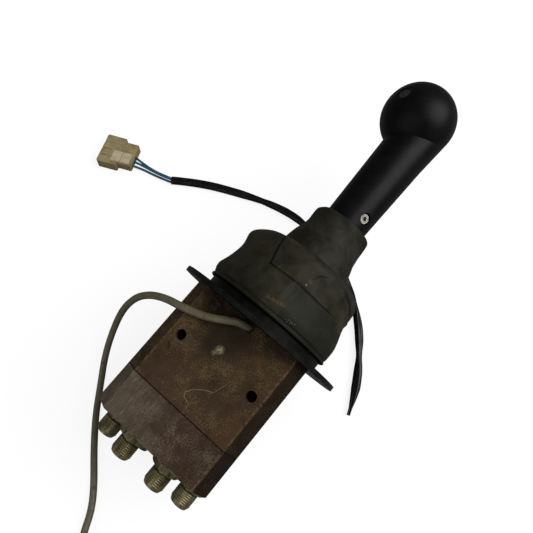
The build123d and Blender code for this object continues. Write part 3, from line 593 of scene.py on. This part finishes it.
plain_finishes = {
    "seal_rubber": tones((0.004, 0.004, 0.004), (0.009, 0.009, 0.009), 3, 0.5),
    "screw_steel": tones((0.012, 0.012, 0.012), (0.045, 0.040, 0.034), 4, 0.45, metal=0.6),
    # streaks along the adapters' axis: partly zinc plate, partly painted highlights in the light tone
    "adapter_zinc": tones(
        (0.046, 0.036, 0.011), (0.200, 0.172, 0.090), 2.6, 0.32, metal=0.6, stretch=(1, 1, 0.25)),
    "plate_black": tones((0.0020, 0.0023, 0.0017), (0.0058, 0.0060, 0.0046), 6, 0.42, specular=0.06),
    "mechanism_steel": tones((0.15, 0.15, 0.15), (0.30, 0.30, 0.30), 5, 0.35, metal=1.0),
    "plug_brass": tones((0.28, 0.17, 0.05), (0.46, 0.30, 0.10), 4, 0.32, metal=1.0),
    "spring_steel": tones((0.06, 0.06, 0.06), (0.16, 0.15, 0.14), 2, 0.35, metal=1.0),
    "knob_black": tones(
        (0.0015, 0.0015, 0.0017), (0.0026, 0.0026, 0.0028), 7, 0.44, specular=0.085, height=0.012),
    "grip_screw_zinc": tones((0.16, 0.155, 0.13), (0.34, 0.33, 0.28), 1.5, 0.35, metal=0.9),
    "bezel_black": tones((0.0015, 0.0015, 0.0015), (0.003, 0.003, 0.003), 3, 0.3, specular=0.2),
    "button_brown": tones((0.013, 0.0105, 0.0095), (0.021, 0.0175, 0.016), 2, 0.5),
    "sleeve_vinyl": tones((0.0010, 0.0012, 0.0010), (0.0036, 0.0040, 0.0036), 8, 0.34, specular=0.2),
    "wire_teal": tones((0.004, 0.030, 0.052), (0.012, 0.060, 0.095), 6, 0.35),
    "connector_cream": tones((0.125, 0.098, 0.040), (0.185, 0.152, 0.076), 9, 0.5),
    "connector_pale": tones((0.240, 0.205, 0.130), (0.300, 0.262, 0.175), 5, 0.5),
    "plug_grey": tones((0.008, 0.008, 0.008), (0.015, 0.015, 0.015), 4, 0.5),
}
finishes = {
    "casing_iron": casing_finish(),
    "block_iron": block_finish(),
    "boot_rubber": boot_finish(),
    "cable_grey": cable_finish(),
}
for slot, tone in plain_finishes.items():
    finishes[slot] = toned_finish(slot, **tone)
for part in frame["record"]["subparts"]:
    mesh = frame["nodes"][part["node"]].data
    mesh.materials.clear()
    mesh.materials.append(finishes[part["material_slot"]])
print("finishes:", len(finishes))

# %% [markdown]
# ## The cords
# The grey signal cable and the three wires are round, so a bevelled curve is enough. The two
# harness sleeves are soft vinyl tube that lies flattened and is pinched here and there, so each is
# a mesh whose oval section follows the line.

# %% Signal cable
plug_low, plug_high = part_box("cable_plug")
plug_entry = Vector(((plug_low.x + plug_high.x) / 2, plug_low.y, (plug_low.z + plug_high.z) / 2)) / mm
lead_in = [tuple(plug_entry + Vector((0.4, -7, -2))), tuple(plug_entry + Vector((0, 1, 0)))]
cable, cable_length = round_cord("signal_cable_jacket", cable_route + coil_route + lead_in, cable_diameter)
cable.data.materials.append(finishes["cable_grey"])
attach(cable, "base")
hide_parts("signal_cable", "cable_coil")
print("signal cable:", round(cable_length, 3), "m")

# %% Wires
for name, route in wire_routes.items():
    wire, wire_length = round_cord(name + "_insulation", route, wire_diameter)
    wire.data.materials.append(finishes["wire_teal"])
    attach(wire, "base")
    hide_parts(name)
    print(name, round(wire_length * 1000), "mm")


# %% Grids of points made into meshes
def grid_mesh(name, rows, cap_start=False, cap_end=False):
    """A smooth mesh from rows of points, each row a closed ring."""
    rows = np.asarray(rows)
    count, width = rows.shape[:2]
    faces = []
    for row in range(count - 1):
        for column in range(width):
            following = (column + 1) % width
            faces.append((row * width + column, row * width + following,
                          (row + 1) * width + following, (row + 1) * width + column))
    if cap_start:
        faces.append(tuple(reversed(range(width))))
    if cap_end:
        faces.append(tuple((count - 1) * width + column for column in range(width)))
    mesh = bpy.data.meshes.new(name)
    mesh.from_pydata(rows.reshape(-1, 3).tolist(), [], faces)
    mesh.polygons.foreach_set("use_smooth", [True] * len(mesh.polygons))
    mesh.update()
    piece = bpy.data.objects.new(name, mesh)
    bpy.context.scene.collection.objects.link(piece)
    return piece


def travelled(points):
    """How far along the line each point lies."""
    return np.concatenate([[0], np.cumsum(np.linalg.norm(np.diff(points, axis=0), axis=1))])


def bump_at(distance, place, width):
    """1 at the place, falling off softly over the width."""
    return np.exp(-((distance - place) / width) ** 2)


# %% Harness sleeves
point_gap = 1.2
section_points = 36
thinnest_wide = 1.4
thinnest_high = 1.0


def vinyl_tube(name, route, wide, high, twist, pinches, tip):
    """A flattened tube. twist is (place, degrees) and pinches (place, width) along it, in mm."""
    points = line_points(route)
    along = travelled(points) / mm
    even = np.linspace(0, along[-1], int(along[-1] / point_gap))
    centre = np.stack([np.interp(even, along, points[:, axis]) for axis in range(3)], axis=1)
    forward = np.gradient(centre, axis=0)
    forward /= np.linalg.norm(forward, axis=1)[:, None]
    side = np.cross(forward, (0, 0, 1))
    side /= np.linalg.norm(side, axis=1)[:, None]
    over = np.cross(side, forward)
    half_wide = np.full(len(even), wide / 2)
    half_high = np.full(len(even), high / 2)
    for place, width in pinches:
        half_wide -= wide * 0.16 * bump_at(even, place, width)
        half_high += high * 0.10 * bump_at(even, place, width)
    taper = np.clip((even[-1] - even) / tip, 0, 1) ** 0.7 if tip else np.ones(len(even))
    half_wide = np.maximum(half_wide * taper, thinnest_wide)
    half_high = np.maximum(half_high * (0.35 + 0.65 * taper), thinnest_high)
    half_high *= 1 + 0.05 * np.sin(even * 0.41) + 0.04 * np.sin(even * 0.173 + 1)
    turn = np.radians(np.interp(even, *zip(*twist)))
    rows = []
    for angle in np.linspace(0, 2 * np.pi, section_points, endpoint=False):
        across = np.sign(np.cos(angle)) * abs(np.cos(angle)) ** 0.86 * half_wide
        rise = np.sign(np.sin(angle)) * abs(np.sin(angle)) ** 0.9 * half_high
        fold = 0.55 * np.exp(-((angle - 1.9) / 0.22) ** 2) - 0.35 * np.exp(-((angle - 1.3) / 0.3) ** 2)
        rise = rise + fold * np.sin(even * 0.05 + 0.7)
        sideways = across * np.cos(turn) - rise * np.sin(turn)
        upwards = across * np.sin(turn) + rise * np.cos(turn)
        rows.append(centre + side * (sideways * mm)[:, None] + over * (upwards * mm)[:, None])
    rings = np.stack(rows, axis=1)
    rings[:, :, 2] = np.maximum(rings[:, :, 2], 0.15 * mm)
    tube = grid_mesh(name, rings, cap_start=True, cap_end=True)
    tube.data.materials.append(finishes["sleeve_vinyl"])
    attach(tube, "base")
    return tube, centre


sleeve, sleeve_line = vinyl_tube(
    "harness_sleeve_vinyl", sleeve_route, 7.6, 5.4,
    [(0, 20), (120, 10), (190, -8), (240, 22), (300, 5)], [(148, 9), (196, 12)], None,
)
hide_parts("harness_sleeve")
tail, tail_line = vinyl_tube(
    "harness_tail_vinyl", tail_route, 7.4, 5.0,
    [(0, 0), (60, 25), (110, -20), (160, 10)], [(62, 8), (104, 9)], 22,
)
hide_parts("harness_tail")
print("sleeve", round(line_length(sleeve_line), 3), "m, tail", round(line_length(tail_line), 3), "m")

# %% [markdown]
# ## The rubber boot
# The boot is one moulding: a bead that snaps over the collar, a full skirt, and a neck that grips
# the lever. It is turned from its half outline, whose corners are cut again and again until they
# are round, and then its folds and dents are pushed in by given formulas. It is made in two
# pieces, split at the neck's base.

# %% Outlines with rounded corners
def rounded(outline, rounds=3):
    """Cuts every corner at a quarter of its sides, again and again. Doubled points stay sharper."""
    line = np.array(outline, float)
    for _ in range(rounds):
        before = line[:-1]
        after = line[1:]
        cut = np.empty((2 * len(before), 2))
        cut[0::2] = before * 0.75 + after * 0.25
        cut[1::2] = before * 0.25 + after * 0.75
        line = np.vstack([line[:1], cut, line[-1:]])
    return line


def spaced(line, gap):
    """The same line with points an even gap apart."""
    along = travelled(line)
    even = np.linspace(0, along[-1], max(2, round(along[-1] / gap)))
    return np.stack([np.interp(even, along, line[:, axis]) for axis in range(2)], axis=1)


def smooth_step(value, low, high):
    share = np.clip((value - low) / (high - low), 0, 1)
    return share * share * (3 - 2 * share)


bulb_outline = [
    (45.8, 9.4), (48.4, 9.35), (49.8, 9.8), (49.9, 11.0), (49.2, 12.0), (48.9, 12.5), (49.6, 13.0),
    (49.8, 15.0), (49.8, 20.0), (48.4, 25.5), (46.6, 32.0), (45.9, 38.0), (45.7, 44.0), (45.6, 50.0),
    (44.4, 54.0), (41.4, 57.2), (36.0, 59.2), (30.5, 60.0), (28.4, 60.4), (28.1, 61.2),
]
neck_outline = [
    (28.1, 61.2), (27.4, 64.0), (25.0, 74.6), (23.0, 83.4), (22.7, 86.0), (22.7, 93.0), (22.7, 95.6),
    (22.0, 96.7), (20.5, 97.0), (18.0, 96.6), (16.9, 96.0), (16.6, 94.0), (16.6, 91.0),
]


def turned(line, columns):
    """Radius, height and angle of every point of a turned outline, each as a grid."""
    angle = np.linspace(0, 2 * np.pi, columns, endpoint=False)
    radius = np.repeat(line[:, :1], columns, axis=1)
    height = np.repeat(line[:, 1:], columns, axis=1)
    return radius, height, np.repeat(angle[None, :], len(line), axis=0)


def boot_surface(name, outline, gap):
    """Turns the outline and pushes the folds and dents into it."""
    radius, height, turn = turned(spaced(rounded(outline), gap), 400)
    # the front is at -90 degrees; offset is how far round from it, in degrees
    offset = (np.degrees(turn) + 270) % 360 - 180
    in_front = np.sin(turn) < 0
    lateral = radius * np.cos(turn)
    skirt = smooth_step(height, 14, 24)
    # a flat band is folded over under the neck, proud of the skirt by a millimetre
    band_left = -18.5 + (52 - height) * 0.22
    left_end = smooth_step(lateral, band_left - 0.5, band_left + 0.5)
    right_end = 1 - smooth_step(lateral, 26.0, 38.0)
    band_foot = 35.9 + 0.4 * np.sin(lateral * 0.2)
    band = smooth_step(height, band_foot - 0.5, band_foot + 0.5) * (1 - smooth_step(height, 59.0, 60.4))
    push = 1.1 * band * left_end * right_end * smooth_step(-np.sin(turn), 0.2, 0.45)
    groove = smooth_step(height, 35, 37) * (1 - smooth_step(height, 54, 57)) * in_front
    push -= 0.5 * bump_at(lateral, band_left - 1.0, 0.9) * groove
    # shallow dents and waves of old rubber
    round_way = np.radians(offset)
    push += 0.55 * np.sin(round_way * 3 + height * 0.13) * skirt * (1 - smooth_step(height, 54, 60))
    push += 0.30 * np.sin(round_way * 7 + height * 0.31 + 1.2) * skirt
    push -= 0.9 * bump_at(offset, 34, 9) * bump_at(height, 50, 5)
    push += 0.7 * bump_at(offset, 4, 3) * bump_at(height, 33, 12)
    # the old rubber bags out to the left, over the bead and at the shoulder
    push += 1.6 * bump_at(offset, -82, 26) * bump_at(height, 20, 5)
    push += 2.0 * bump_at(offset, -82, 26) * bump_at(height, 49, 7)
    # a ridge left by the mould runs up the front of the skirt
    ridge_span = smooth_step(height, 14, 18) * (1 - smooth_step(height, 33, 36)) * in_front
    push += 0.20 * bump_at(lateral, 9.6, 0.7) * ridge_span
    # a slack diagonal wrinkle on the right shoulder, a furrow with a roll under it
    wrinkle = height - 54 + (lateral - 31) * 0.62
    shoulder = smooth_step(lateral, 28, 33) * in_front
    push -= 0.9 * bump_at(wrinkle, 0, 1.3) * shoulder
    push += 0.6 * bump_at(wrinkle, -3.2, 1.8) * shoulder
    radius = radius + push * smooth_step(height, 13.0, 15.5)
    rows = np.stack([radius * np.cos(turn), radius * np.sin(turn), height], axis=2)
    return grid_mesh(name, lying(rows))


boot_bulb = boot_surface("boot_bulb", bulb_outline, 0.6)
boot_neck = boot_surface("boot_neck", neck_outline, 0.9)
for piece in (boot_bulb, boot_neck):
    piece.data.materials.append(finishes["boot_rubber"])
at(0, 0, 15)
at(0, 0, 58)
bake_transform(boot_bulb)
at(0, 0, 62)
at(0, 0, 92)
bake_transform(boot_neck)
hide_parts("boot")
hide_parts("boot")
print("boot:", len(boot_bulb.data.polygons) + len(boot_neck.data.polygons), "faces")

# %% [markdown]
# ## Port adapters
# Six equal adapters screw into the port block. Each is a hexagon, a neck, a male thread and a
# sealing cone. One is made as a grid round its axis, with the helix of the thread in the radius,
# and a small Geometry Nodes tree sets six copies on the ports.

# %% One adapter
adapter_turn = 16.0
across_flats = 19.0
adapter_profile = [
    (6.0, 0.0), (9.6, 0.0), (10.97, 0.75), (10.97, 6.6), (9.7, 7.5), (7.4, 7.5), (6.2, 7.8),
    (6.2, 9.3), (7.0, 9.8), (7.145, 10.2), (7.145, 18.0), (6.8, 18.5), (6.0, 20.2), (3.6, 20.2),
    (2.7, 19.4), (2.5, 17.0),
]
hexagon_height = 7.5
thread_low = 10.0
thread_high = 18.2
thread_pitch = 1.411
thread_depth = 0.20
bore_radius = 5.9
adapter_seat = -94.5


def adapter_mesh():
    radius, depth, turn = turned(spaced(np.array(adapter_profile), 0.16), 144)
    flat_angle = (np.degrees(turn) - adapter_turn) % 60 - 30
    flat = across_flats / 2 / np.cos(np.radians(flat_angle))
    radius = np.where(depth <= hexagon_height, np.minimum(radius, flat), radius)
    wave = np.abs(((depth / thread_pitch - turn / (2 * np.pi)) % 1) * 2 - 1)
    cut = smooth_step(wave, 0.15, 0.85) * thread_depth
    threaded = smooth_step(depth, thread_low - 0.4, thread_low + 0.4)
    threaded *= 1 - smooth_step(depth, thread_high - 0.4, thread_high + 0.4)
    radius = radius - np.where(radius > bore_radius, cut * threaded, 0)
    rows = np.stack([radius * np.cos(turn), radius * np.sin(turn), adapter_seat - depth], axis=2)
    axes = np.array([rightward, rearward, upward])
    return grid_mesh("adapter", rows @ axes * mm, cap_end=True)


# %% Six adapters by Geometry Nodes
port_places = [(-14.1, -19.9), (14.1, -19.9), (-14.1, 19.9), (14.1, 19.9), (-32.9, -8.8), (32.9, -8.8)]


def copies_on_points(name, places, item, material):
    """A mesh with a copy of item on every place, made by Instance on Points."""
    carrier = bpy.data.meshes.new(name)
    carrier.from_pydata([tuple(place) for place in places], [], [])
    holder = bpy.data.objects.new(name, carrier)
    bpy.context.scene.collection.objects.link(holder)
    tree = bpy.data.node_groups.new(name, "GeometryNodeTree")
    tree.interface.new_socket("Geometry", in_out="INPUT", socket_type="NodeSocketGeometry")
    tree.interface.new_socket("Item", in_out="INPUT", socket_type="NodeSocketObject")
    tree.interface.new_socket("Geometry", in_out="OUTPUT", socket_type="NodeSocketGeometry")
    start = tree.nodes.new("NodeGroupInput")
    info = tree.nodes.new("GeometryNodeObjectInfo")
    spread = tree.nodes.new("GeometryNodeInstanceOnPoints")
    realize = tree.nodes.new("GeometryNodeRealizeInstances")
    paint = tree.nodes.new("GeometryNodeSetMaterial")
    end = tree.nodes.new("NodeGroupOutput")
    paint.inputs["Material"].default_value = material
    links = [
        (start.outputs["Geometry"], spread.inputs["Points"]),
        (start.outputs["Item"], info.inputs["Object"]),
        (info.outputs["Geometry"], spread.inputs["Instance"]),
        (spread.outputs["Instances"], realize.inputs["Geometry"]),
        (realize.outputs["Geometry"], paint.inputs["Geometry"]),
        (paint.outputs["Geometry"], end.inputs["Geometry"]),
    ]
    for output, target in links:
        tree.links.new(output, target)
    modifier = holder.modifiers.new("copies", "NODES")
    modifier.node_group = tree
    item_socket = next(s.identifier for s in tree.interface.items_tree if s.name == "Item")
    modifier[item_socket] = item
    bpy.context.view_layer.update()
    baked = bpy.data.meshes.new_from_object(holder.evaluated_get(bpy.context.evaluated_depsgraph_get()))
    holder.modifiers.remove(modifier)
    bpy.data.objects.remove(holder)
    bpy.data.objects.remove(item)
    piece = bpy.data.objects.new(name, baked)
    bpy.context.scene.collection.objects.link(piece)
    return piece


def mark_sharp(mesh, degrees):
    """Smooth shading with sharp edges where two faces meet at more than this angle."""
    mesh.polygons.foreach_set("use_smooth", [True] * len(mesh.polygons))
    mesh.set_sharp_from_angle(angle=math.radians(degrees))


adapter = adapter_mesh()
adapters = copies_on_points(
    "adapters", [at(right, rear, 0) for right, rear in port_places], adapter, finishes["adapter_zinc"]
)
mark_sharp(adapters.data, 24)
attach(adapters, "base")
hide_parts("port_adapters")
print("adapters:", len(adapters.data.polygons), "faces")

# %% [markdown]
# ## Table and light
# A pale table fills the view. Camera rays see it almost white, and it keeps a faint shadow. To
# every other ray it is dull grey, so that it doesn't wash out the black parts. The light is an
# even sky and two soft lamps, at a level where a colour looks about as it is written.

# %% Table
def pale_table(to_light=0.16, to_camera=0.80, glow_share=0.86):
    material = bpy.data.materials.new("table")
    material.use_nodes = True
    tree = material.node_tree
    tree.nodes.clear()
    rays = tree.nodes.new("ShaderNodeLightPath")
    seen = tree.nodes.new("ShaderNodeMath")
    seen.operation = "MAXIMUM"
    glow = tree.nodes.new("ShaderNodeEmission")
    glow.inputs["Strength"].default_value = 1.0
    matt = tree.nodes.new("ShaderNodeBsdfDiffuse")
    paleness = tree.nodes.new("ShaderNodeMix")
    paleness.data_type = "RGBA"
    paleness.inputs[6].default_value = (to_light, to_light, to_light, 1)
    paleness.inputs[7].default_value = (to_camera, to_camera, to_camera, 1)
    share = tree.nodes.new("ShaderNodeMath")
    share.operation = "MULTIPLY"
    share.inputs[1].default_value = glow_share
    blend = tree.nodes.new("ShaderNodeMixShader")
    end = tree.nodes.new("ShaderNodeOutputMaterial")
    tree.links.new(rays.outputs["Is Camera Ray"], seen.inputs[0])
    tree.links.new(rays.outputs["Is Transmission Ray"], seen.inputs[1])
    tree.links.new(seen.outputs[0], share.inputs[0])
    tree.links.new(rays.outputs["Is Camera Ray"], paleness.inputs[0])
    tree.links.new(paleness.outputs[2], matt.inputs["Color"])
    tree.links.new(share.outputs[0], blend.inputs[0])
    tree.links.new(matt.outputs[0], blend.inputs[1])
    tree.links.new(glow.outputs[0], blend.inputs[2])
    tree.links.new(blend.outputs[0], end.inputs["Surface"])
    return material


table_half = 4.0
table_mesh = bpy.data.meshes.new("table")
table_mesh.from_pydata(
    [(x * table_half, y * table_half, 0) for x, y in ((-1, -1), (1, -1), (1, 1), (-1, 1))], [],
    [(0, 1, 2, 3)],
)
table_mesh.materials.append(pale_table())
table = bpy.data.objects.new("table", table_mesh)
bpy.context.scene.collection.objects.link(table)
table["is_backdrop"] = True

# %% Sky and lamps
def even_sky(diffuse, mirrored, seen):
    """A white sky of three strengths: as light, in reflections, and to the camera."""
    world = bpy.data.worlds.new("sky")
    world.use_nodes = True
    nodes = world.node_tree.nodes
    links = world.node_tree.links
    rays = nodes.new("ShaderNodeLightPath")
    sky_light = nodes["Background"]
    sky_light.inputs["Color"].default_value = (1, 1, 1, 1)
    sky_light.inputs["Strength"].default_value = diffuse
    so_far = sky_light.outputs[0]
    for ray, strength in (("Is Glossy Ray", mirrored), ("Is Camera Ray", seen)):
        other = nodes.new("ShaderNodeBackground")
        other.inputs["Color"].default_value = (1, 1, 1, 1)
        other.inputs["Strength"].default_value = strength
        choice = nodes.new("ShaderNodeMixShader")
        links.new(rays.outputs[ray], choice.inputs[0])
        links.new(so_far, choice.inputs[1])
        links.new(other.outputs[0], choice.inputs[2])
        so_far = choice.outputs[0]
    links.new(so_far, nodes["World Output"].inputs["Surface"])
    return world


bpy.context.scene.world = even_sky(diffuse=0.55, mirrored=0.10, seen=1.0)


def soft_lamp(name, place, aim, size, power):
    """A square soft lamp at a place, aimed at a point, both in metres."""
    data = bpy.data.lights.new(name, "AREA")
    data.size = size
    data.energy = power
    lamp = bpy.data.objects.new(name, data)
    lamp.location = place
    lamp.rotation_mode = "QUATERNION"
    lamp.rotation_quaternion = (Vector(aim) - Vector(place)).to_track_quat("-Z", "Y")
    bpy.context.scene.collection.objects.link(lamp)


soft_lamp("window", (0.50, -0.70, 1.10), (0, 0, 0.05), 1.1, 26)
soft_lamp("fill", (-1.2, 0.3, 0.7), (-0.1, 0, 0.05), 1.4, 6)

dressed_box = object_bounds()
for name, box in (("CAD box", cad_box), ("dressed box", dressed_box)):
    print(name, [[round(value, 4) for value in corner] for corner in box])
